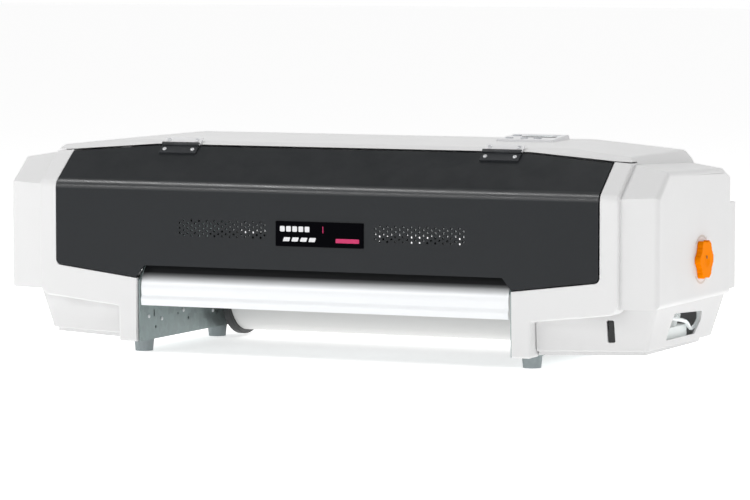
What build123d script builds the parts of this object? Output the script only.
from build123d import *
import os
from math import asin, atan2, cos, pi, radians, sin, tan

# Tabletop roll-fed inkjet printer with a sheet cutter, for 24 inch (610 mm) media.
# Parts are drawn with X across the machine (0 in the middle), Y to the rear measured
# from the lid's front face, and Z up from the floor. save() shifts Y so that the origin
# of the finished model is on the floor, midway between the four feet.

# ---- driving dimensions, millimetres ----
HALF_WIDTH = 584.0            # middle to the side face
FASCIA_X = 521.5              # middle to the outer edge of the front frame
LID_X = 488.0                 # half width of the lid
LID_BREAK_X = 338.5           # where the lid's top and bottom edges change slope
LID_CREASE_Z = 285.0          # bend between the lid's upright and leaning faces
LID_TOP_Y, LID_TOP_Z = 78.5, 345.5
LID_T = 3.0
LID_GAP = 2.0                 # running gap round the lid
WALL = 3.0                    # moulded cover wall
FRONT_Y = 1.5                 # face of the white front frame, just behind the lid's face
FRAME_DEPTH = 40.0            # how far the front frame and pillars reach back
PILLAR_IN, PILLAR_OUT, PILLAR_BOTTOM = 338.0, 372.0, 20.0
BLOCK_BOTTOM = 104.0          # underside of the end blocks
BODY_REAR = 372.0             # rear wall of the end blocks
HOUSING_REAR = 407.0          # rear wall of the low rear housings
COVER_REAR = 350.0            # rear wall between the end blocks
FOOT_X, FOOT_FRONT_Y, FOOT_REAR_Y = 352.5, 58.0, 340.0
FOOT_H = 20.0
PLATE_X, PLATE_T = 334.5, 2.5  # inner face and thickness of the inner side plates
END_FRAME_X = 523.0           # inner face of the outer frames
PLATEN_TOP = 170.0
FEED_Y, FEED_R = 172.0, 10.0
FEED_Z = PLATEN_TOP + 0.4 - FEED_R
PINCH_R = 7.0
PINCH_Z = FEED_Z + FEED_R + 0.15 + PINCH_R
PINCH_XS = [-280.0 + 80.0 * i for i in range(8)]
PIVOT_Y, PIVOT_Z, PIVOT_R = 246.0, 186.0, 3.0
KNOB_Y, KNOB_Z = 222.3, 171.8
CAM_R, CAM_THROW = 7.5, 2.4
RAIL_Y, RAIL_DEPTH = 150.0, 42.0
RAIL_Z0, RAIL_Z1 = 215.0, 276.0
RAIL_HALF = 522.9
GUIDE_Z = 228.0               # centre height of the carriage's linear guide
BELT_Z, BELT_H, BELT_T = 257.0, 10.0, 1.5
PULLEY_X, PULLEY_Y, PULLEY_R = 549.0, 136.0, 10.5
CARRIAGE_X, CARRIAGE_W = 425.0, 112.0
ROLL_Y, ROLL_Z, ROLL_R = 367.0, 89.0, 78.0
MEDIA_HALF = 305.0            # half of 610 mm media
FLANGE_R, FLANGE_T = 85.5, 14.0
HINGE_X, HINGE_HALF = 291.5, 34.0
BUTTON_TRAVEL = 1.2
MID_Y = (FOOT_FRONT_Y + FOOT_REAR_Y) / 2

LEAN = atan2(LID_TOP_Z - LID_CREASE_Z, LID_TOP_Y)


# ---- helpers ----
def outline(points):
    """Flat face in XY through (u, v) or (u, v, corner radius) points."""
    face = Face(Wire.make_polygon([(p[0], p[1], 0) for p in points], close=True))
    for p in points:
        if len(p) == 3:
            corner = face.vertices().sort_by_distance((p[0], p[1], 0))[0]
            face = face.fillet_2d(p[2], [corner])
    return face


def yz_prism(points, x0, x1):
    face = outline(points).moved(Plane.YZ.location)
    return Solid.extrude(face.moved(Location((x0, 0, 0))), Vector(x1 - x0, 0, 0))


def xz_face_prism(face, y0, y1):
    placed = face.moved(Plane.XZ.location).moved(Location((0, y0, 0)))
    return Solid.extrude(placed, Vector(0, y1 - y0, 0))


def xz_prism(points, y0, y1):
    return xz_face_prism(outline(points), y0, y1)


def xy_prism(points, z0, z1):
    return Solid.extrude(outline(points).moved(Location((0, 0, z0))), Vector(0, 0, z1 - z0))


def box(x0, x1, y0, y1, z0, z1):
    return Solid.make_box(x1 - x0, y1 - y0, z1 - z0).moved(Location((x0, y0, z0)))


def rod_x(y, z, r, x0, x1):
    return Solid.make_cylinder(r, x1 - x0, Plane((x0, y, z), z_dir=(1, 0, 0)))


def rod_y(x, z, r, y0, y1):
    return Solid.make_cylinder(r, y1 - y0, Plane((x, y0, z), z_dir=(0, 1, 0)))


def rod_z(x, y, r, z0, z1):
    return Solid.make_cylinder(r, z1 - z0, Plane((x, y, z0), z_dir=(0, 0, 1)))


def mirrored(shape):
    return shape.mirror(Plane.YZ)


def fuse(shapes):
    first, *rest = shapes
    return first.fuse(*rest) if rest else first


def group(shapes):
    return Compound(children=[s for shape in shapes for s in shape.solids()])


def lean_z(y, inset=0.0):
    """Height of the leaning front surface at depth y, or of a surface inset behind it."""
    return LID_CREASE_Z + y * tan(LEAN) - inset / cos(LEAN)


def slope_point(along, out):
    """(Y, Z) of a point up the leaning face from the lid's top edge, and out of it."""
    return (LID_TOP_Y + along * cos(LEAN) - out * sin(LEAN),
            LID_TOP_Z + along * sin(LEAN) + out * cos(LEAN))


def slope_plane(x, along, out):
    y, z = slope_point(along, out)
    return Plane((x, y, z), x_dir=(1, 0, 0), z_dir=(0, -sin(LEAN), cos(LEAN)))


def slope_box(x0, x1, along0, along1, out0, out1, r=0.0):
    """Plate lying on the leaning face; its thickness runs out of that face."""
    plate = Solid.make_box(x1 - x0, along1 - along0, out1 - out0)
    if r:
        plate = plate.fillet(r, plate.edges().filter_by(Axis.Z))
    return plate.moved(slope_plane(x0, along0, out0).location)


# ---- lid ----
def lid_outline(grow=0.0):
    """Front view of the lid: raised middle of the lower edge, ends of both edges sloped."""
    x, b, g = LID_X + grow, LID_BREAK_X, grow
    half = [(322.5 - g, 149.2 - g), (b, 129.0 - g), (x, 147.7 - g, 8.0 + g),
            (x, 334.3 + g), (b, LID_TOP_Z + g)]
    return half + [(-p[0], *p[1:]) for p in reversed(half)]


def lid_profile(inset, t, back=0.0):
    """Bent sheet in side view: upright, then leaning back."""
    outer_r, inner_r = 18.0, 18.0 - t
    far = 120.0
    return [(inset, 60.0), (inset, lean_z(inset, inset), outer_r), (far, lean_z(far, inset)),
            (far, lean_z(far, inset + t) - back), (inset + t, lean_z(inset + t, inset + t), inner_r),
            (inset + t, 60.0)]


def grille_holes():
    """Two groups of small holes: columns of four and of three in turn."""
    pitch_x, pitch_z, r, z_mid, first_x, columns = 7.07, 8.3, 1.9, 214.0, 100.0, 23
    holes = []
    for i in range(columns):
        rows = 3 if i % 2 == 0 else 4
        for j in range(rows):
            z = z_mid + (j - (rows - 1) / 2) * pitch_z
            holes.append(rod_y(first_x + i * pitch_x, z, r, -5, 10))
    return holes + [mirrored(h) for h in holes]


def lid_panel():
    sheet = yz_prism(lid_profile(0.0, LID_T), -LID_X - 1, LID_X + 1)
    sheet = sheet.intersect(xz_prism(lid_outline(), -5, 130)).solids()[0]
    return sheet.cut(*grille_holes())


def lid_badge():
    plate = box(-79, 79, -2.4, -0.02, 189, 230.5)
    return plate.fillet(1.0, plate.edges().filter_by(Axis.Y) + plate.faces().sort_by(Axis.Y)[0].edges())


# ---- lid hinges ----
KNUCKLE_OUT, KNUCKLE_R, HINGE_PIN_R = 3.9, 3.6, 1.5
HINGE_LEAF_T, HINGE_SCREW_IN = 2.2, 8.0


def hinge_parts(x_mid):
    """One butt hinge lying across the lid's top edge, with its pin along X."""
    y, z = slope_point(1.0, KNUCKLE_OUT)
    x0, x1 = x_mid - HINGE_HALF, x_mid + HINGE_HALF
    third = (x1 - x0) / 3
    hole = rod_x(y, z, HINGE_PIN_R + 0.05, x0 - 1, x1 + 1)
    relief_r = KNUCKLE_R + 0.3
    relief_mid = rod_x(y, z, relief_r, x0 + third - 0.2, x1 - third + 0.2)
    relief_left = rod_x(y, z, relief_r, x0 - 1, x0 + third + 0.2)
    relief_right = rod_x(y, z, relief_r, x1 - third - 0.2, x1 + 1)
    upper = slope_box(x0, x1, 1.6, 21.0, 0.05, HINGE_LEAF_T)
    upper = upper.cut(relief_mid)
    upper = fuse([upper, rod_x(y, z, KNUCKLE_R, x0, x0 + third - 0.2),
                  rod_x(y, z, KNUCKLE_R, x1 - third + 0.2, x1)]).cut(hole)
    lower = slope_box(x0, x1, -20.0, 0.4, 0.05, HINGE_LEAF_T + 0.6)
    lower = lower.cut(relief_left, relief_right)
    lower = fuse([lower, rod_x(y, z, KNUCKLE_R, x0 + third + 0.2, x1 - third - 0.2)]).cut(hole)
    pin = rod_x(y, z, HINGE_PIN_R, x0 - 0.8, x1 + 0.8)
    upper_screws = [pan_screw(slope_plane(x, 13.5, HINGE_LEAF_T + 0.02))
                    for x in (x0 + HINGE_SCREW_IN, x1 - HINGE_SCREW_IN)]
    lower_screws = [pan_screw(slope_plane(x, -11.5, HINGE_LEAF_T + 0.62))
                    for x in (x0 + HINGE_SCREW_IN, x1 - HINGE_SCREW_IN)]
    return upper, lower, pin, upper_screws, lower_screws


def pan_screw(plane, head_r=3.4, head_h=1.9):
    """Screw head with a cross recess, standing on a surface; the shank stays out of sight."""
    head = Solid.make_cylinder(head_r, head_h)
    head = head.fillet(0.9, head.faces().sort_by(Axis.Z)[-1].edges())
    slot = box(-2.2, 2.2, -0.5, 0.5, head_h - 0.9, head_h + 1)
    return head.cut(slot, slot.rotate(Axis.Z, 90)).moved(plane.location)


# ---- white covers ----
def fascia_outline():
    """Front view of the right half of the white frame round the lid, with its pillar."""
    g = LID_GAP
    return [(PILLAR_IN + 1, PILLAR_BOTTOM), (PILLAR_OUT - 1, PILLAR_BOTTOM, 4.0),
            (PILLAR_OUT, 79.0, 4.0), (FASCIA_X, 95.5, 20.0), (FASCIA_X, 332.3 + g),
            (LID_X + g, 334.3 + g), (LID_X + g, 147.7 - g, 8.0 + g), (LID_BREAK_X, 129.0 - g),
            (PILLAR_IN, 129.0 - g)]


def fascia_solid():
    d = FRAME_DEPTH
    side = [(FRONT_Y, 0), (FRONT_Y, lean_z(FRONT_Y, FRONT_Y), 18.0), (140, lean_z(140, FRONT_Y)),
            (140, lean_z(140, d)), (d, lean_z(d, d) - 5), (d, 0)]
    body = xz_prism(fascia_outline(), -5, 92).intersect(yz_prism(side, 330, 530)).solids()[0]
    rim = [e for e in body.edges() if edge_on_front(e)]
    return body.fillet(4.0, rim)


def edge_on_front(edge):
    """True for the frame's outer front edges: the side edge and the lower edge."""
    middle = edge.position_at(0.5)
    on_upright = abs(middle.Y - FRONT_Y) < 0.01 and middle.Z < LID_CREASE_Z
    outer_side = middle.X > FASCIA_X - 7.0
    lower_edge = middle.X > PILLAR_OUT - 2.5 and middle.Z < 97.0
    return on_upright and (outer_side or lower_edge) and edge.length > 1.0


def fascia_core():
    d = FRONT_Y + WALL
    inner = offset(outline(fascia_outline()), -WALL, kind=Kind.INTERSECTION).faces()[0]
    side = [(d, 0), (d, lean_z(d, d), 15.0), (140, lean_z(140, d)), (300, lean_z(140, d)), (300, 0)]
    return xz_face_prism(inner, -5, 150).intersect(yz_prism(side, 330, 530)).solids()[0]


def block_section(x, front, inset, top, rear, bottom):
    """Side view of an end block at one place across the machine."""
    lean_end = (top - LID_CREASE_Z + inset / cos(LEAN)) / tan(LEAN)
    points = [(front, bottom), (front, lean_z(front, inset)), (lean_end, top),
              (rear - 35.0, top - 8.0), (rear, top - 22.0), (rear, bottom)]
    return Wire.make_polygon([(x, y, z) for y, z in points], close=True)


def block_solid():
    near = block_section(FASCIA_X - 3.0, 8.6, 9.0, 332.5, BODY_REAR, BLOCK_BOTTOM)
    far = block_section(HALF_WIDTH, 18.0, 12.0, 322.0, BODY_REAR, BLOCK_BOTTOM)
    body = Solid.make_loft([near, far], ruled=True)
    side = body.faces().sort_by(Axis.X)[-1]
    body = body.fillet(9.0, side.edges())
    return body


def block_core():
    w = WALL
    near = block_section(FASCIA_X - 12.0, 8.6 + w, 9.0 + w, 332.5 - w, BODY_REAR - w, BLOCK_BOTTOM + w)
    far = block_section(HALF_WIDTH - w, 18.0 + w, 12.0 + w, 322.0 - w, BODY_REAR - w, BLOCK_BOTTOM + w)
    return Solid.make_loft([near, far], ruled=True)


def right_cover():
    shell = fascia_solid().fuse(block_solid()).cut(fascia_core(), block_core())
    return shell.cut(rod_x(KNOB_Y, KNOB_Z, 8.0, 570, 600)).solids().sort_by(SortBy.VOLUME)[-1]


def left_cover():
    shell = fascia_solid().fuse(block_solid()).cut(fascia_core(), block_core())
    return mirrored(shell.solids().sort_by(SortBy.VOLUME)[-1])


TOP_RIDGE_Y, TOP_REAR_Y = 93.0, 318.0


def top_mass(inset):
    """Outer (inset 0) or inner form of the long top cover."""
    i = inset
    ridge_z = lean_z(TOP_RIDGE_Y, FRONT_Y)
    side = [(30, lean_z(30, FRONT_Y + i)), (TOP_RIDGE_Y + i / 2, ridge_z - i, 40.0),
            (TOP_REAR_Y - i / 2, 360.0 - i, 22.0), (COVER_REAR - i, 330.0 - i, 10.0),
            (COVER_REAR - i, 280.0), (30, 280.0)]
    x = 527.5 - i
    front = [(-x, 270.0), (-x, 318.0), (-514.0 + i, 344.5 - i, 8.0), (-346.0, 361.0 - i, 60.0),
             (346.0, 361.0 - i, 60.0), (514.0 - i, 344.5 - i, 8.0), (x, 318.0), (x, 270.0)]
    return yz_prism(side, -530, 530).intersect(xz_prism(front, 0, 420)).solids()[0]


def top_cover():
    g = 2 * LID_GAP + 0.2
    x = FASCIA_X + 0.3
    under_lid = [(-x, 250.0), (-x, 332.3 + g), (-LID_X - g, 334.3 + g - 1), (-LID_BREAK_X, LID_TOP_Z + g - 1),
                 (LID_BREAK_X, LID_TOP_Z + g - 1), (LID_X + g, 334.3 + g - 1), (x, 332.3 + g), (x, 250.0)]
    shell = top_mass(0.0).cut(top_mass(WALL), xz_prism(under_lid, 0, 95))
    block = block_solid()
    shell = shell.cut(block, mirrored(block), box(-600, 600, 0, 420, 0, 300.0))
    shell = shell.cut(*[box(s * 521.5 - 12, s * 521.5 + 12, 0, 420, 250, 322) for s in (-1, 1)])
    return shell.solids().sort_by(SortBy.VOLUME)[-1]


def rear_cover():
    wide, narrow = 515.0, 338.0
    shape = [(-wide, 299.4), (wide, 299.4), (wide, 258.5), (narrow, 258.5), (narrow, 186.0, 6.0),
             (-narrow, 186.0, 6.0), (-narrow, 258.5), (-wide, 258.5)]
    wall = xz_prism(shape, COVER_REAR - WALL, COVER_REAR)
    vents = []
    for i in range(24):
        x = -230.0 + i * 20.0
        vents.append(soft_slot(x, 232.0, 4.0, 46.0))
    return wall.cut(*vents)


def soft_slot(x, z, w, h):
    """Upright slot with round ends, cut through a rear wall."""
    r = w / 2 - 0.01
    x0, x1, z0, z1 = x - w / 2, x + w / 2, z - h / 2, z + h / 2
    return xz_prism([(x0, z0, r), (x1, z0, r), (x1, z1, r), (x0, z1, r)], 300, 450)


# ---- rear housings beside the roll ----
HOUSING_IN, HOUSING_OUT, HOUSING_Z0, HOUSING_Z1 = 340.0, 581.0, 112.0, 256.0


def housing_shell():
    """Low box on the back of an end block; open towards the machine."""
    w = WALL
    plan = [(HOUSING_IN, COVER_REAR), (515, COVER_REAR), (515, BODY_REAR + 0.3),
            (HOUSING_OUT, BODY_REAR + 0.3), (HOUSING_OUT, HOUSING_REAR, 8.0), (HOUSING_IN, HOUSING_REAR, 8.0)]
    body = xy_prism(plan, HOUSING_Z0, HOUSING_Z1)
    core = [(HOUSING_IN + w, COVER_REAR - 1), (515 - w, COVER_REAR - 1), (515 - w, BODY_REAR - 1),
            (HOUSING_OUT - w, BODY_REAR - 1), (HOUSING_OUT - w, HOUSING_REAR - w, 5.0),
            (HOUSING_IN + w, HOUSING_REAR - w, 5.0)]
    return body.cut(xy_prism(core, HOUSING_Z0 + w, HOUSING_Z1 - w))


SWITCH_X, INLET_X, PORT_X, SOCKET_Z = 400.0, 445.0, 500.0, 150.0


def right_rear_housing():
    y0, y1, z = HOUSING_REAR - 10, HOUSING_REAR + 5, SOCKET_Z
    cuts = [box(SWITCH_X - 10.5, SWITCH_X + 10.5, y0, y1, z - 14.5, z + 14.5),
            box(INLET_X - 14.5, INLET_X + 14.5, y0, y1, z - 11.0, z + 11.0),
            box(PORT_X - 20.5, PORT_X + 20.5, y0, y1, z - 8.0, z + 8.0)]
    return housing_shell().cut(*cuts)


INK_COUNT, INK_PITCH, INK_W, INK_H, INK_L = 4, 40.0, 33.0, 92.0, 150.0
INK_X0, INK_Z0, INK_REAR = -505.0, 137.0, HOUSING_REAR + 3.0


def left_rear_housing():
    x0, x1 = INK_X0 - 3.0, INK_X0 + INK_COUNT * INK_PITCH - 4.0
    mouth = [(x0, INK_Z0 - 4, 4.0), (x1, INK_Z0 - 4, 4.0), (x1, INK_Z0 + INK_H + 4, 4.0),
             (x0, INK_Z0 + INK_H + 4, 4.0)]
    return mirrored(housing_shell()).cut(xz_prism(mouth, HOUSING_REAR - 12, HOUSING_REAR + 5))


def ink_rack():
    """Tray with upright dividers that guides the cartridges."""
    x0, x1 = INK_X0 - 2.6, INK_X0 + INK_COUNT * INK_PITCH - 4.6
    y0, y1 = INK_REAR - INK_L - 12.0, HOUSING_REAR - WALL - 2.0
    body = box(x0, x1, y0, y1, INK_Z0 - 3.0, INK_Z0 + INK_H + 3.0)
    for i in range(INK_COUNT):
        x = INK_X0 + i * INK_PITCH
        body = body.cut(box(x - 0.6, x + INK_W + 0.6, y0 + 10.0, y1 + 1, INK_Z0 - 0.5, INK_Z0 + INK_H + 0.5))
    return body


def ink_cartridge(i):
    x = INK_X0 + i * INK_PITCH
    body = box(x, x + INK_W, INK_REAR - INK_L, INK_REAR, INK_Z0, INK_Z0 + INK_H)
    body = body.fillet(2.5, body.edges().filter_by(Axis.Y))
    body = body.fillet(1.5, body.faces().sort_by(Axis.Y)[-1].edges())
    grip = box(x + 6, x + INK_W - 6, INK_REAR - 5, INK_REAR + 1, INK_Z0 + 22, INK_Z0 + 34)
    return body.cut(grip.fillet(2.0, grip.edges().filter_by(Axis.Y)))


# ---- lower skirts and base pans ----
SKIRT_TOP, SKIRT_BOTTOM = BLOCK_BOTTOM - 0.5, 30.0
SLOT_X, SLOT_Z0, SLOT_Z1 = 487.5, 45.0, 82.0


def skirt_plan(z, front, corner, side_x, rear, inset):
    """Plan of the right skirt at one height; its front runs back towards the outer end."""
    i = inset
    points = [(PILLAR_OUT + 1.0 + i, front + i), (side_x - i, corner + i), (side_x - i, rear - i),
              (HOUSING_IN + i, rear - i), (HOUSING_IN + i, FRAME_DEPTH + 1.5 + i),
              (PILLAR_OUT + 1.0 + i, FRAME_DEPTH + 1.5 + i)]
    return Wire.make_polygon([(x, y, z) for x, y in points], close=True)


def skirt_shell():
    top = skirt_plan(SKIRT_TOP, 21.0, 74.0, 561.0, 408.0, 0)
    low = skirt_plan(SKIRT_BOTTOM, 26.0, 86.0, 541.0, 394.0, 0)
    body = Solid.make_loft([low, top], ruled=True)
    corner = body.edges().sort_by_distance((551, 80, 66))[0]
    body = body.fillet(10.0, [corner])
    floor = body.faces().sort_by(Axis.Z)[0]
    body = body.fillet(3.0, floor.edges())
    core_top = skirt_plan(SKIRT_TOP + 1, 21.0, 74.0, 561.0, 408.0, WALL)
    core_low = skirt_plan(SKIRT_BOTTOM + WALL, 26.0, 86.0, 541.5, 394.0, WALL)
    body = body.cut(Solid.make_loft([core_low, core_top], ruled=True))
    front_frame = xz_prism(fascia_outline(), -5, FRAME_DEPTH + 0.5)
    return body.cut(front_frame).solids().sort_by(SortBy.VOLUME)[-1]


def service_window():
    """Side opening in the right skirt: a leaning four-sided window with round corners."""
    return [(163, 42, 5.0), (304, 41, 5.0), (318, 64, 8.0), (312, 79, 4.0), (172, 86, 8.0)]


def right_skirt():
    window = yz_prism(service_window(), 525, 575)
    slot = [(SLOT_X - 6, SLOT_Z0, 3.0), (SLOT_X + 6, SLOT_Z0, 3.0), (SLOT_X + 6, SLOT_Z1, 3.0),
            (SLOT_X - 6, SLOT_Z1, 3.0)]
    return skirt_shell().cut(window, xz_prism(slot, 40, 90))


def left_skirt():
    return mirrored(skirt_shell())


def base_pan():
    """Floor plate under a skirt, with a raised lip at the outer side."""
    plan = [(PILLAR_OUT + 3, 31), (535, 92, 6.0), (535, 356, 4.0), (345, 356), (345, 45),
            (PILLAR_OUT + 3, 45)]
    return xy_prism(plan, 24.0, SKIRT_BOTTOM - 0.05)


def status_window():
    """Dark window behind the slot in the right skirt's front."""
    return box(SLOT_X - 5.8, SLOT_X + 5.8, 58.0, 84.0, SLOT_Z0 + 0.3, SLOT_Z1 - 0.3).cut(
        slanted_front_cut())


def slanted_front_cut():
    """Everything in front of a plane 1 mm behind the skirt's slanting front face."""
    slope = (86.0 - 26.0) / (541.0 - PILLAR_OUT - 1)
    x0, x1 = 440.0, 540.0
    line = [(x0, 27.5 + slope * (x0 - PILLAR_OUT)), (x1, 27.5 + slope * (x1 - PILLAR_OUT)),
            (x1, 0), (x0, 0)]
    return xy_prism(line, 30, 100)


# ---- frame ----
def side_plate():
    """Galvanised inner side plate with its foot flange turned outwards."""
    edge = [(9, 20), (7, 124, 3.0), (30, 150), (30, 166, 3.0), (160, 166, 4.0), (160, 214.6),
            (190, 214.6), (196, 206, 4.0), (262, 206), (262, 214), (343, 214, 4.0), (343, 182, 8.0),
            (392, 130, 8.0), (392, 40, 12.0), (376, 20, 4.0)]
    plate = yz_prism(edge, PLATE_X, PLATE_X + PLATE_T)
    flange = box(PLATE_X, 371.0, FRAME_DEPTH + 1.5, 376.0, 20.0, 20.0 + PLATE_T)
    plate = plate.fuse(flange)
    holes = [rod_x(FEED_Y, FEED_Z, 11.0, 330, 340), rod_x(KNOB_Y, KNOB_Z, 8.0, 330, 340),
             yz_prism([(ROLL_Y - 8.0, ROLL_Z, 7.9), (ROLL_Y + 8.0, ROLL_Z, 7.9), (ROLL_Y + 8.0, 190),
                       (ROLL_Y - 8.0, 190)], 330, 340).moved(Location((0, 0, -8.0)))]
    holes += [rod_z(FOOT_X, y, 4.1, 15, 30) for y in (FOOT_FRONT_Y, FOOT_REAR_Y)]
    # hooks and tie slots: middle y and z, then size along y and z
    slots = [(60, 64, 4, 12), (100, 88, 14, 3.5), (150, 56, 4, 4), (150, 112, 16, 3.5),
             (205, 90, 4, 20), (250, 60, 18, 3.5), (300, 110, 4, 18), (240, 130, 26, 6),
             (66, 40, 5, 5), (190, 45, 5, 5), (300, 45, 5, 5)]
    for y, z, dy, dz in slots:
        r = min(dy, dz) / 2 - 0.01
        y0, y1, z0, z1 = y - dy / 2, y + dy / 2, z - dz / 2, z + dz / 2
        holes.append(yz_prism([(y0, z0, r), (y1, z0, r), (y1, z1, r), (y0, z1, r)], 330, 340))
    return plate.cut(*holes)


def end_frame():
    """Outer sheet frame that carries the end of the carriage rail and the end cover."""
    foot = BLOCK_BOTTOM + WALL + 0.1
    edge = [(105, foot), (105, 300, 12.0), (330, 300, 20.0), (340, foot)]
    plate = yz_prism(edge, END_FRAME_X, END_FRAME_X + PLATE_T)
    holes = [rod_x(KNOB_Y, KNOB_Z, 8.0, 515, 530),
             box(515, 530, PULLEY_Y - 16, PULLEY_Y + 13.5, BELT_Z - 8, BELT_Z + 8),
             yz_prism([(250, 125, 10), (320, 125, 10), (320, 180, 10), (250, 180, 10)], 515, 530),
             yz_prism([(225, 200, 10), (310, 200, 10), (310, 275, 10), (225, 275, 10)], 515, 530)]
    return plate.cut(*holes)


def carriage_rail():
    """Hollow aluminium extrusion across the machine."""
    y0, y1 = RAIL_Y, RAIL_Y + RAIL_DEPTH
    section = [(y0, RAIL_Z0, 2.0), (y1, RAIL_Z0, 2.0), (y1, RAIL_Z1, 2.0), (y0, RAIL_Z1, 2.0)]
    body = yz_prism(section, -RAIL_HALF, RAIL_HALF)
    t, z_mid = 3.0, (RAIL_Z0 + RAIL_Z1) / 2
    low = box(-530, 530, y0 + t, y1 - t, RAIL_Z0 + t, z_mid - t / 2)
    high = box(-530, 530, y0 + t, y1 - t, z_mid + t / 2, RAIL_Z1 - t)
    return body.cut(low, high)


def linear_guide():
    """Steel guide screwed to the front of the rail."""
    h = 6.0
    section = [(RAIL_Y - 12, GUIDE_Z - h), (RAIL_Y - 0.05, GUIDE_Z - h), (RAIL_Y - 0.05, GUIDE_Z + h),
               (RAIL_Y - 12, GUIDE_Z + h), (RAIL_Y - 12, GUIDE_Z + 3), (RAIL_Y - 9.5, GUIDE_Z + 1.5),
               (RAIL_Y - 9.5, GUIDE_Z - 1.5), (RAIL_Y - 12, GUIDE_Z - 3)]
    return yz_prism(section, -RAIL_HALF + 4, RAIL_HALF - 4)


def electronics_tray():
    """Folded sheet that ties the side plates together and carries the electronics."""
    half = PLATE_X - 0.3
    shape = [(268, 216), (342, 216), (342, 236), (339.5, 236), (339.5, 218.5), (270.5, 218.5),
             (270.5, 262), (268, 262)]
    return yz_prism(shape, -half, half)


def vacuum_box():
    """Duct under the platen."""
    half = PLATE_X - 0.3
    y0, y1, z0, z1, t = 74.0, 156.0, 116.0, 157.9, 2.0
    duct = box(-half, half, y0, y1, z0, z1).cut(box(-half + t, half - t, y0 + t, y1 - t, z0 + t, z1 + 1))
    outlets = [rod_z(x, (y0 + y1) / 2, 24.0, z0 - 5, z0 + 5) for x in (-160, 160)]
    return duct.cut(*outlets)


def platen():
    """Ribbed plate with rows of suction holes."""
    half = PLATE_X - 0.3
    plate = box(-half, half, 72, 159, PLATEN_TOP - 12, PLATEN_TOP)
    lightening = [box(-half + 4 + i * 82.0, -half + 78 + i * 82.0, 78, 153, PLATEN_TOP - 13, PLATEN_TOP - 4)
                  for i in range(8)]
    holes = [rod_z(-310 + i * 20.0, y, 1.5, PLATEN_TOP - 14, PLATEN_TOP + 1)
             for i in range(32) for y in (88, 104, 120, 136)]
    groove = box(-half - 1, half + 1, 81, 83.5, PLATEN_TOP - 2.5, PLATEN_TOP + 1)
    return plate.cut(*lightening, *holes, groove)


def front_paper_guide():
    """Curved satin sheet that leads the print down and out at the front."""
    half = PLATE_X - 3.0
    outer = [(71.0, 169.6), (42.0, 168.0, 40.0), (4.0, 122.0, 40.0), (7.6, 98.5, 3.0), (4.4, 91.5, 5.0),
             (7.2, 81.5)]
    inner = [(71.0, 168.1), (42.7, 166.5, 38.5), (5.6, 121.7, 38.5), (9.2, 98.7, 4.5), (6.0, 91.4, 3.5),
             (8.8, 81.5)]
    return yz_prism(outer + inner[::-1], -half, half)


# ---- feed ----
BEARING_R, JOURNAL_R, FEED_PULLEY_R, MOTOR_PULLEY_R = 6.05, 6.0, 18.0, 7.0
FEED_DRIVE_X, FEED_MOTOR_Y, FEED_MOTOR_Z = 348.0, 152.0, 106.0


def feed_bearings():
    """Flanged bushes pressed into the side plates."""
    bush = rod_x(FEED_Y, FEED_Z, 10.95, PLATE_X - 0.5, PLATE_X + 5).fuse(
        rod_x(FEED_Y, FEED_Z, 13.0, PLATE_X + PLATE_T + 0.05, PLATE_X + 5))
    bush = bush.cut(rod_x(FEED_Y, FEED_Z, BEARING_R, 330, 350))
    return group([bush, mirrored(bush)])


def grit_roller():
    roller = rod_x(FEED_Y, FEED_Z, FEED_R, -PLATE_X + 2, PLATE_X - 2)
    grooves = [rod_x(FEED_Y, FEED_Z, FEED_R + 1, x + 28, x + 31).cut(rod_x(FEED_Y, FEED_Z, 9.4, x, x + 40))
               for x in PINCH_XS]
    shaft = rod_x(FEED_Y, FEED_Z, JOURNAL_R, -PLATE_X - 8, PLATE_X + 30)
    return roller.cut(*grooves).fuse(shaft)


def toothed_wheel(r, width, teeth, bore, plane):
    """Timing pulley: round-bottomed tooth gaps between two flanges."""
    wheel = Solid.make_cylinder(r, width)
    gap = Solid.make_cylinder(r * 0.09, width).moved(Location((r, 0, 0)))
    wheel = wheel.cut(*[gap.rotate(Axis.Z, i * 360 / teeth) for i in range(teeth)])
    rims = [Solid.make_cylinder(r + 2.0, 1.2).moved(Location((0, 0, z))) for z in (-1.2, width)]
    return fuse([wheel] + rims).cut(Solid.make_cylinder(bore, 4 * width).moved(
        Location((0, 0, -width)))).moved(plane.location)


def x_plane(x, y, z):
    return Plane((x, y, z), x_dir=(0, 1, 0), z_dir=(1, 0, 0))


def feed_pulley():
    return toothed_wheel(FEED_PULLEY_R, 8.4, 28, JOURNAL_R, x_plane(FEED_DRIVE_X, FEED_Y, FEED_Z))


def feed_motor_pulley():
    wheel = toothed_wheel(MOTOR_PULLEY_R, 8.4, 12, 2.5, x_plane(FEED_DRIVE_X, FEED_MOTOR_Y, FEED_MOTOR_Z))
    return wheel.fuse(rod_x(FEED_MOTOR_Y, FEED_MOTOR_Z, 2.5, FEED_DRIVE_X - 8, FEED_DRIVE_X + 12))


def belt_loop(y0, z0, r0, y1, z1, r1, t):
    """Face of a belt round two pulleys: outer hull of two discs minus the inner one."""
    def hull(grow):
        a, b = Vector(y0, z0), Vector(y1, z1)
        d = b - a
        base = atan2(d.Y, d.X)
        spread = pi / 2 + asin((r1 - r0) / d.length)
        ends = []
        for centre, r in ((a, r0 + grow), (b, r1 + grow)):
            ends.append([centre + Vector(cos(base + s * spread), sin(base + s * spread)) * r for s in (1, -1)])
        far0 = a - d.normalized() * (r0 + grow)
        far1 = b + d.normalized() * (r1 + grow)
        edges = [Edge.make_line(ends[0][0], ends[1][0]),
                 Edge.make_three_point_arc(ends[1][0], far1, ends[1][1]),
                 Edge.make_line(ends[1][1], ends[0][1]),
                 Edge.make_three_point_arc(ends[0][1], far0, ends[0][0])]
        return Face(Wire(edges))
    return hull(0.1 + t), hull(0.1)


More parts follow.
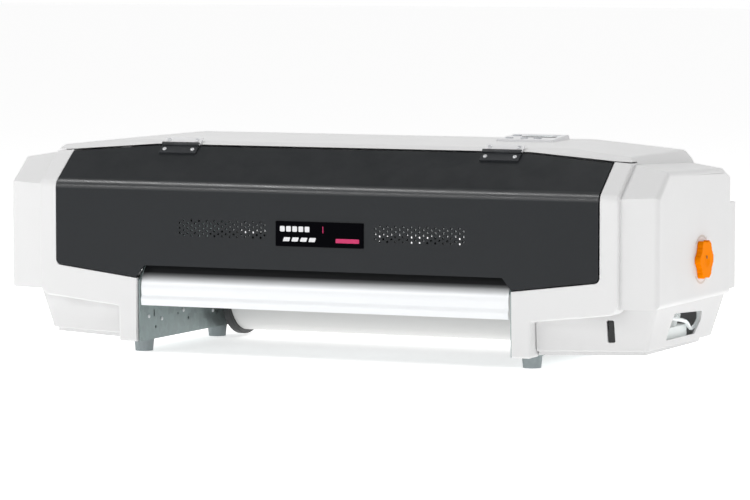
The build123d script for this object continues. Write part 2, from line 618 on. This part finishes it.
def feed_belt():
    outer, inner = belt_loop(FEED_Y, FEED_Z, FEED_PULLEY_R, FEED_MOTOR_Y, FEED_MOTOR_Z, MOTOR_PULLEY_R, 1.4)
    x = FEED_DRIVE_X + 0.4
    parts = [Solid.extrude(f.moved(Plane.YZ.location).moved(Location((x, 0, 0))), Vector(7.6, 0, 0))
             for f in (outer, inner)]
    return parts[0].cut(parts[1])


def motor(plane, side, length):
    """Square stepper motor: laminated middle between two cast ends."""
    half = side / 2
    end = box(-half, half, -half, half, 0, 9)
    end = end.fillet(3.0, end.edges().filter_by(Axis.Z))
    core = box(-half + 1, half - 1, -half + 1, half - 1, 9, length - 9)
    back = end.moved(Location((0, 0, length - 9)))
    pilot = Solid.make_cylinder(11, 2).moved(Location((0, 0, -2)))
    bore = Solid.make_cylinder(4.0, 12).moved(Location((0, 0, -4)))
    return fuse([end, core, back, pilot]).cut(bore).moved(plane.location)


def feed_motor():
    return motor(x_plane(FEED_DRIVE_X + 13, FEED_MOTOR_Y, FEED_MOTOR_Z), 42.0, 48.0)


# ---- pinch rollers, arms and lift ----
def pinch_arms():
    """Levers from the pivot rod to the rollers, with fork ends; the shaft's cams lift them."""
    arms = []
    lower_z = KNOB_Z + CAM_R - CAM_THROW * sin(radians(45)) + 0.35
    side = [(FEED_Y - 5, PINCH_Z - 3.5, 2.0), (FEED_Y + 8, PINCH_Z - 3.5), (FEED_Y + 18, lower_z),
            (PIVOT_Y, lower_z), (PIVOT_Y + 7, lower_z + 4, 3.0), (PIVOT_Y + 7, PIVOT_Z + 7, 4.0),
            (FEED_Y + 30, PIVOT_Z + 7, 4.0), (FEED_Y - 5, PINCH_Z + 5, 3.0)]
    for x in PINCH_XS:
        arm = yz_prism(side, x - 13, x + 13)
        fork = box(x - 9.5, x + 9.5, FEED_Y - 10, FEED_Y + 13, PINCH_Z - 12, PINCH_Z + 20)
        pivot = rod_x(PIVOT_Y, PIVOT_Z, PIVOT_R + 0.06, x - 20, x + 20)
        axle = rod_x(FEED_Y, PINCH_Z, 2.06, x - 20, x + 20)
        spring_bay = box(x - 7, x + 7, PIVOT_Y - 12, PIVOT_Y + 10, lower_z - 1, PIVOT_Z + 9)
        arms.append(arm.cut(fork, pivot, axle, spring_bay))
    return group(arms)


def pinch_springs():
    """Torsion spring round the pivot rod in each arm's bay, one leg along the arm."""
    springs = []
    wire_r, coil_r, pitch, turns = 0.6, 4.4, 1.6, 5
    for x in PINCH_XS:
        helix = Edge.make_helix(pitch, pitch * turns, coil_r)
        start = helix.position_at(0)
        ring = Face(Wire.make_circle(wire_r, Plane(start, z_dir=helix.tangent_at(0))))
        coil = Solid.sweep(ring, helix)
        lie_down = Plane((x - pitch * turns / 2, PIVOT_Y, PIVOT_Z), x_dir=(0, 1, 0), z_dir=(1, 0, 0))
        springs.append(coil.moved(lie_down.location))
    return group(springs)


def pinch_rollers():
    rollers = [rod_x(FEED_Y, PINCH_Z, PINCH_R, x - 9, x + 9) for x in PINCH_XS]
    rollers = [r.fillet(1.2, r.edges().filter_by(GeomType.CIRCLE)) for r in rollers]
    axles = [rod_x(FEED_Y, PINCH_Z, 2.0, x - 13, x + 13) for x in PINCH_XS]
    return group([r.fuse(a) for r, a in zip(rollers, axles)])


def pivot_rod():
    return rod_x(PIVOT_Y, PIVOT_Z, PIVOT_R, -PLATE_X + 0.3, PLATE_X - 0.3)


def lift_shaft():
    """Shaft from the knob through the machine, with one eccentric cam under each arm."""
    shaft = rod_x(KNOB_Y, KNOB_Z, 5.0, -PLATE_X + 2, HALF_WIDTH + 4)
    ease = CAM_THROW * cos(radians(45))
    cams = [rod_x(KNOB_Y + ease, KNOB_Z - ease, CAM_R, x - 6, x + 6) for x in PINCH_XS]
    journal = rod_x(KNOB_Y, KNOB_Z, 7.93, PLATE_X - 2, PLATE_X + 5)
    return fuse([shaft, journal] + cams)


def lift_knob():
    """Six-lobed knob with a dished face."""
    x0, x1, lobes = HALF_WIDTH + 0.4, HALF_WIDTH + 10.0, 6
    base = Solid.make_cylinder(29.4, x1 - x0)
    grips = [Solid.make_cylinder(8.2, x1 - x0).moved(Location((25.9, 0, 0))).rotate(Axis.Z, 60 * i)
             for i in range(lobes)]
    dips = [Solid.make_cylinder(6.5, x1 - x0).moved(Location((34.3, 0, 0))).rotate(Axis.Z, 30 + 60 * i)
            for i in range(lobes)]
    knob = fuse([base] + grips).cut(*dips)
    rim = Solid.make_cylinder(34.1, x1 - x0)
    rim = rim.fillet(3.0, rim.faces().sort_by(Axis.Z)[-1].edges())
    knob = knob.intersect(rim).solids()[0]
    dish = Solid.make_sphere(32.5).moved(Location((0, 0, x1 - x0 + 30.0)))
    bore = Solid.make_cylinder(5.0, 6.0).moved(Location((0, 0, -1)))
    return knob.cut(dish, bore).moved(x_plane(x0, KNOB_Y, KNOB_Z).location)


# ---- carriage and its drive ----
HEAD_Z = PLATEN_TOP + 2.5


def carriage_housing():
    x0, x1 = CARRIAGE_X - CARRIAGE_W / 2, CARRIAGE_X + CARRIAGE_W / 2
    side = [(40, 180, 4.0), (116, 180, 3.0), (116, 272, 6.0), (76, 272, 14.0), (40, 236, 14.0)]
    body = yz_prism(side, x0, x1)
    body = body.fillet(3.0, body.faces().sort_by(Axis.X)[0].edges() + body.faces().sort_by(Axis.X)[-1].edges())
    pocket = box(x0 + 11.8, x1 - 27.8, 51.8, 104.2, 170, 196.2)
    blade_bore = rod_z(x1 - 14, 78, 6.1, 170, 290)
    ribs = [box(x0 + 16 + 10 * i, x0 + 19 + 10 * i, 30, 120, 266, 280) for i in range(6)]
    return body.cut(pocket, blade_bore, *ribs)


def print_head():
    x0, x1 = CARRIAGE_X - CARRIAGE_W / 2 + 12, CARRIAGE_X + CARRIAGE_W / 2 - 28
    body = box(x0, x1, 52, 104, HEAD_Z + 4, 196)
    nozzle_plate = box(x0 + 6, x1 - 6, 58, 98, HEAD_Z, HEAD_Z + 4)
    rows = [box(x0 + 12 + 12 * i, x0 + 13 + 12 * i, 62, 94, HEAD_Z - 1, HEAD_Z + 0.4) for i in range(5)]
    return body.fuse(nozzle_plate).cut(*rows)


def carriage_slider():
    """Bearing block wrapped round the linear guide, bolted to the back of the carriage."""
    y, z, c = RAIL_Y, GUIDE_Z, 0.08
    block = box(CARRIAGE_X - 32, CARRIAGE_X + 32, 116.05, y - 3, z - 14, z + 14)
    channel = [(y - 12 - c, z - 6 - c), (y + 5, z - 6 - c), (y + 5, z + 6 + c), (y - 12 - c, z + 6 + c),
               (y - 12 - c, z + 3 - c), (y - 9.5 - c, z + 1.5 - c), (y - 9.5 - c, z - 1.5 + c),
               (y - 12 - c, z - 3 + c)]
    return block.cut(yz_prism(channel, CARRIAGE_X - 40, CARRIAGE_X + 40))


def belt_clamp():
    """Two jaws on the carriage that hold the belt's front run."""
    y_belt = PULLEY_Y - PULLEY_R - 0.1
    block = box(CARRIAGE_X - 14, CARRIAGE_X + 14, 116.05, y_belt + 4, BELT_Z - 10, BELT_Z + 9)
    slot = box(CARRIAGE_X - 15, CARRIAGE_X + 15, y_belt - BELT_T - 0.06, y_belt + 0.06,
               BELT_Z - BELT_H / 2 - 0.1, BELT_Z + 12)
    return block.cut(slot)


def sheet_cutter():
    """Pen-like blade holder that drops through the carriage to cut the print off."""
    x = CARRIAGE_X + CARRIAGE_W / 2 - 14
    body = rod_z(x, 78, 6.0, 184, 282)
    cap = rod_z(x, 78, 8.5, 279, 287)
    cap = cap.fillet(1.5, cap.edges().filter_by(GeomType.CIRCLE))
    tip = Solid.make_cone(1.0, 5.0, 6).moved(Location((x, 78, 178)))
    return fuse([body, cap, tip])


def pulley(x):
    plane = Plane((x, PULLEY_Y, BELT_Z - BELT_H / 2 - 0.4), x_dir=(1, 0, 0), z_dir=(0, 0, 1))
    wheel = toothed_wheel(PULLEY_R, BELT_H + 0.8, 18, 2.5, plane)
    return wheel.fuse(rod_z(x, PULLEY_Y, 2.5, BELT_Z - 18, BELT_Z + 10))


def drive_belt():
    outer, inner = belt_loop(-PULLEY_X, PULLEY_Y, PULLEY_R, PULLEY_X, PULLEY_Y, PULLEY_R, BELT_T)
    z = BELT_Z - BELT_H / 2
    parts = [Solid.extrude(f.moved(Location((0, 0, z))), Vector(0, 0, BELT_H)) for f in (outer, inner)]
    return parts[0].cut(parts[1])


def carriage_motor():
    top = BELT_Z - BELT_H / 2 - 6
    plane = Plane((-PULLEY_X, PULLEY_Y, top), x_dir=(1, 0, 0), z_dir=(0, 0, -1))
    return motor(plane, 42.0, 50.0)


def idler_bracket():
    """Channel that holds the idler pulley's pin at the right end."""
    x0, x1 = END_FRAME_X + PLATE_T + 0.1, PULLEY_X + 14
    plate = box(x0, x1, PULLEY_Y - 11, PULLEY_Y + 11, BELT_Z - 12, BELT_Z - 9)
    foot = box(x0, x0 + 3, PULLEY_Y - 11, PULLEY_Y + 11, BELT_Z - 34, BELT_Z - 9)
    return plate.fuse(foot).cut(rod_z(PULLEY_X, PULLEY_Y, 2.56, BELT_Z - 20, BELT_Z))


# ---- capping station and waste ink ----
CAP_X0, CAP_X1 = CARRIAGE_X - 46.0, CARRIAGE_X + 30.0


def capping_base():
    body = box(CAP_X0 - 4, CAP_X1 + 6, 66, 112, 34, 142)
    body = body.fillet(3.0, body.edges().filter_by(Axis.Z))
    wiper_post = box(CAP_X0 - 14, CAP_X0 - 6, 68, 106, 120, 160).fuse(
        box(CAP_X0 - 14, CAP_X0 + 4, 68, 106, 112, 124))
    return fuse([body, wiper_post])


def wiper_blade():
    return box(CAP_X0 - 11, CAP_X0 - 9.4, 70, 102, 160.05, 171.6)


def cap_unit():
    """Rubber-lipped cap on its lifting tray."""
    tray = box(CAP_X0, CAP_X1, 52, 106, 151, 162).cut(box(CAP_X0 + 3, CAP_X1 - 3, 55, 103, 155, 163))
    lip = box(CAP_X0 + 8, CAP_X1 - 8, 58, 100, 154.9, 171.8)
    lip = lip.cut(box(CAP_X0 + 11, CAP_X1 - 11, 61, 97, 158, 173))
    return tray.fuse(lip)


def waste_tank():
    """Tank behind the service window, with a leaning spout."""
    body = box(486, 534, 176, 296, 33.5, 58)
    body = body.fillet(4.0, body.edges().filter_by(Axis.Z))
    spout = Solid.make_cylinder(13.0, 34.0).rotate(Axis.X, -38).moved(Location((516, 244, 46)))
    body = body.fuse(spout)
    core = box(489, 531, 179, 293, 36.5, 55)
    hole = Solid.make_cylinder(10.5, 42.0).rotate(Axis.X, -38).moved(Location((516, 244, 46)))
    return body.cut(core, hole).solids().sort_by(SortBy.VOLUME)[-1]


def waste_cap():
    cap = Solid.make_cylinder(15.5, 7.0).cut(Solid.make_cylinder(3.6, 12.0).moved(Location((0, 0, -1))))
    cap = cap.fillet(1.2, cap.faces().sort_by(Axis.Z)[-1].edges().sort_by(SortBy.LENGTH)[-1:])
    return cap.moved(Location((0, 0, 34.1))).rotate(Axis.X, -38).moved(Location((516, 244, 46)))


def drain_tube():
    """Clear hose from the capping station, looped behind the window into the tank's cap."""
    lean = radians(38)
    tip = Vector(516, 244 + 36 * sin(lean), 46 + 36 * cos(lean))
    out = Vector(0, sin(lean), cos(lean))
    path = Spline(Vector(480, 116, 70), Vector(505, 150, 84), Vector(536, 215, 74), Vector(540, 280, 60),
                  Vector(536, 318, 50), Vector(539, 337, 66), Vector(539, 322, 83), Vector(535, 303, 80),
                  tip + out * 14 + Vector(3, 5, 0), tip, tangents=[(1, 0.3, 0), -out])
    start = path.position_at(0)
    ring = Face(Wire.make_circle(3.2, Plane(start, z_dir=path.tangent_at(0))))
    return Solid.sweep(ring, path)


# ---- media roll ----
def media_roll():
    return rod_x(ROLL_Y, ROLL_Z, ROLL_R, -MEDIA_HALF, MEDIA_HALF).cut(
        rod_x(ROLL_Y, ROLL_Z, 40.1, -400, 400))


def roll_core():
    return rod_x(ROLL_Y, ROLL_Z, 40.0, -MEDIA_HALF, MEDIA_HALF).cut(
        rod_x(ROLL_Y, ROLL_Z, 37.0, -400, 400))


def roll_flanges():
    x0 = MEDIA_HALF + 0.2
    rim = rod_x(ROLL_Y, ROLL_Z, FLANGE_R, x0, x0 + FLANGE_T)
    rim = rim.fillet(2.5, rim.edges().filter_by(GeomType.CIRCLE))
    dish = rod_x(ROLL_Y, ROLL_Z, FLANGE_R - 8, x0 + 6, x0 + 20).cut(rod_x(ROLL_Y, ROLL_Z, 26, x0, x0 + 30))
    hub = rod_x(ROLL_Y, ROLL_Z, 36.9, x0 - 42, x0 + 1)
    flange = rim.cut(dish).fuse(hub).cut(rod_x(ROLL_Y, ROLL_Z, 7.6, 200, 400))
    return group([flange, mirrored(flange)])


def roll_spindle():
    bar = rod_x(ROLL_Y, ROLL_Z, 7.5, -PLATE_X - 4.5, PLATE_X + 4.5)
    return bar.fillet(1.5, bar.edges().filter_by(GeomType.CIRCLE))


# ---- control panel ----
PANEL_X0, PANEL_X1, PANEL_Y0, PANEL_Y1 = 224.0, 322.0, 222.0, 300.0
PANEL_FRONT_Z, PANEL_REAR_Z = 361.6, 366.8
BUTTONS = {"power_button": (239.0, 274.0, 5.0), "menu_button": (239.0, 238.0, 4.4),
           "back_button": (266.0, 238.0, 4.4), "feed_button": (290.0, 238.0, 4.4)}
DISPLAY = (254.0, 314.0, 256.0, 288.0)


def panel_z(y):
    return PANEL_FRONT_Z + (PANEL_REAR_Z - PANEL_FRONT_Z) * (y - PANEL_Y0) / (PANEL_Y1 - PANEL_Y0)


def panel_housing():
    """Low wedge on the top cover with openings for the keys and the display."""
    side = [(PANEL_Y0 - 3, 340), (PANEL_Y0, PANEL_FRONT_Z, 1.5), (PANEL_Y1, PANEL_REAR_Z, 1.5),
            (PANEL_Y1 + 3, 340)]
    front = [(PANEL_X0 - 12, 340), (PANEL_X0 + 4, 370), (PANEL_X1 - 2, 370), (PANEL_X1 + 6, 340)]
    body = yz_prism(side, 200, 340).intersect(xz_prism(front, 200, 320)).solids()[0]
    body = body.cut(top_mass(0.0)).solids().sort_by(SortBy.VOLUME)[-1]
    wells = [oval_key(x, y, r + 0.3, panel_z(y) - BUTTON_TRAVEL - 0.6, 380) for x, y, r in BUTTONS.values()]
    x0, x1, y0, y1 = DISPLAY
    z = panel_z((y0 + y1) / 2)
    return body.cut(*wells, box(x0, x1, y0, y1, z - 1.6, 380))


def oval_key(x, y, r, z0, z1):
    """Upright key with an oval plan, wider than deep."""
    w = r * 0.55
    plan = [(x - r - w, y - r, r - 0.01), (x + r + w, y - r, r - 0.01), (x + r + w, y + r, r - 0.01),
            (x - r - w, y + r, r - 0.01)]
    return xy_prism(plan, z0, z1)


def key(name):
    x, y, r = BUTTONS[name]
    z = panel_z(y)
    body = oval_key(x, y, r, z - 0.5, z + 1.5)
    return body.fillet(0.5, body.faces().sort_by(Axis.Z)[-1].edges())


def display_window():
    x0, x1, y0, y1 = DISPLAY
    z = panel_z((y0 + y1) / 2)
    return box(x0 + 0.15, x1 - 0.15, y0 + 0.15, y1 - 0.15, z - 1.55, z - 0.3)


# ---- feet, electronics, sockets, screws ----
def rubber_feet():
    """Tapered feet pushed up into the flanges, with a hole for a stand's bolt."""
    feet = []
    for x in (-FOOT_X, FOOT_X):
        for y in (FOOT_FRONT_Y, FOOT_REAR_Y):
            foot = Solid.make_cone(15.0, 17.0, FOOT_H - 0.05)
            neck = Solid.make_cylinder(4.0, PLATE_T + 0.5).moved(Location((0, 0, FOOT_H - 0.06)))
            hole = Solid.make_cylinder(3.3, 40).moved(Location((0, 0, -5)))
            feet.append(foot.fuse(neck).cut(hole).moved(Location((x, y, 0))))
    return group(feet)


def main_board():
    """Circuit board on the tray with its larger components."""
    board = box(-300, -40, 274, 338, 222, 223.6)
    chips = [box(-280 + 44 * i, -262 + 44 * i, 288, 306, 223.6, 226) for i in range(5)]
    tall = [rod_z(-290 + 22 * i, 328, 5, 223.6, 238) for i in range(8)]
    plugs = [box(-288 + 36 * i, -266 + 36 * i, 275, 281, 223.6, 232) for i in range(6)]
    posts = [rod_z(x, y, 3, 218.55, 222) for x in (-294, -46) for y in (280, 332)]
    return fuse([board] + chips + tall + plugs + posts)


def power_supply():
    case = box(60, 240, 276, 337, 218.6, 258)
    slots = [box(76 + 12 * i, 82 + 12 * i, 286, 328, 255, 260) for i in range(12)]
    return case.cut(*slots)


def power_inlet():
    y, z = HOUSING_REAR, SOCKET_Z
    body = box(INLET_X - 14.3, INLET_X + 14.3, y - 26, y + 1.5, z - 10.8, z + 10.8)
    pit = box(INLET_X - 12, INLET_X + 12, y - 18, y + 3, z - 8.4, z + 8.4)
    pins = [box(INLET_X + d - 1, INLET_X + d + 1, y - 18, y - 3, z + e - 2, z + e + 2)
            for d, e in ((-7, -2), (0, 2), (7, -2))]
    return fuse([body.cut(pit)] + pins)


def interface_ports():
    y, z = HOUSING_REAR, SOCKET_Z
    body = box(PORT_X - 20.3, PORT_X + 20.3, y - 20, y + 1.0, z - 7.8, z + 7.8)
    lan = box(PORT_X - 17, PORT_X - 3, y - 14, y + 2, z - 6, z + 5)
    usb = box(PORT_X + 4, PORT_X + 15, y - 14, y + 2, z - 5, z + 5)
    tongue = box(PORT_X + 7, PORT_X + 12, y - 14, y - 1, z - 2, z + 2)
    return body.cut(lan, usb).fuse(tongue)




def power_switch():
    """Rocker on a cross pin, lying with one end pressed in."""
    y, z = HOUSING_REAR, SOCKET_Z
    side = [(y - 6, z - 11), (y + 2.2, z - 12.4, 1.0), (y + 0.4, z), (y + 2.2, z + 12.4, 1.0), (y - 6, z + 11)]
    return yz_prism(side, SWITCH_X - 9.6, SWITCH_X + 9.6)


def cover_screws():
    """Screws of the rear covers, on their outer faces."""
    spots = [(x, COVER_REAR, z) for x in (-490, -250, 0, 250, 490) for z in (290,)]
    spots += [(s * x, HOUSING_REAR, 246.0) for s in (-1, 1) for x in (352, 566)]
    spots += [(s * x, HOUSING_REAR, 120.0) for s in (-1, 1) for x in (352, 566)]
    return group([pan_screw(Plane((x, y + 0.02, z), x_dir=(1, 0, 0), z_dir=(0, 1, 0))) for x, y, z in spots])


def plate_screws():
    """Screws on the inner faces of the side plates."""
    spots = [(40, 60), (88, 52), (120, 84), (170, 60), (230, 100), (285, 50), (320, 130), (26, 104)]
    screws = [pan_screw(Plane((PLATE_X - 0.02, y, z), x_dir=(0, 1, 0), z_dir=(-1, 0, 0)), 3.4, 1.6)
              for y, z in spots]
    return group(screws + [mirrored(s) for s in screws])


# ---- build and save ----
def all_nodes():
    nodes = {f.__name__: f() for f in (
        lid_panel, lid_badge, left_cover, right_cover, top_cover, rear_cover, right_rear_housing,
        left_rear_housing, ink_rack, left_skirt, right_skirt, electronics_tray, vacuum_box, platen,
        front_paper_guide, feed_bearings, feed_motor_pulley, feed_belt, pinch_arms, pinch_springs,
        pinch_rollers, lift_shaft, lift_knob, carriage_housing, print_head, sheet_cutter, drive_belt,
        cap_unit, drain_tube, panel_housing, rubber_feet, power_switch)}
    hinges = [hinge_parts(x) for x in (-HINGE_X, HINGE_X)]
    nodes["hinge_cover_leaves"] = group([h[0] for h in hinges])
    nodes["hinge_lid_leaves"] = group([h[1] for h in hinges])
    nodes["hinge_lid_screws"] = group([s for h in hinges for s in h[4]])
    pins = [h[2] for h in hinges] + [pivot_rod()]
    screws = [s for h in hinges for s in h[3]] + [cover_screws(), plate_screws()]
    nodes["screws_and_pins"] = group(pins + screws)
    nodes["base_pans"] = group([base_pan(), mirrored(base_pan())])
    nodes["side_plates"] = group([side_plate(), mirrored(side_plate())])
    nodes["end_frames"] = group([end_frame(), mirrored(end_frame()), idler_bracket()])
    nodes["carriage_rail"] = group([carriage_rail(), linear_guide()])
    nodes["carriage_slider"] = group([carriage_slider(), belt_clamp()])
    nodes["feed_roller"] = group([grit_roller(), feed_pulley()])
    nodes["motors"] = group([feed_motor(), carriage_motor()])
    nodes["capping_base"] = group([capping_base(), wiper_blade()])
    nodes["waste_tank"] = group([waste_tank(), waste_cap()])
    nodes["media_roll"] = group([media_roll(), roll_core()])
    nodes["roll_flanges"] = group([roll_flanges(), roll_spindle()])
    nodes["clear_windows"] = group([display_window(), status_window()])
    nodes["electronics"] = group([main_board(), power_supply()])
    nodes["rear_sockets"] = group([power_inlet(), interface_ports()])
    nodes["drive_pulley"] = pulley(-PULLEY_X)
    nodes["idler_pulley"] = pulley(PULLEY_X)
    nodes.update({name: key(name) for name in BUTTONS})
    nodes.update({f"ink_cartridge_{i + 1}": ink_cartridge(i) for i in range(INK_COUNT)})
    return nodes


def save(nodes):
    os.makedirs("parts", exist_ok=True)
    shift = Location((0, -MID_Y, 0))
    for name, shape in nodes.items():
        solids = [solid.moved(shift) for solid in shape.solids()]
        export_step(solids[0] if len(solids) == 1 else Compound(children=solids), f"parts/{name}.step")


if __name__ == "__main__":
    save(all_nodes())
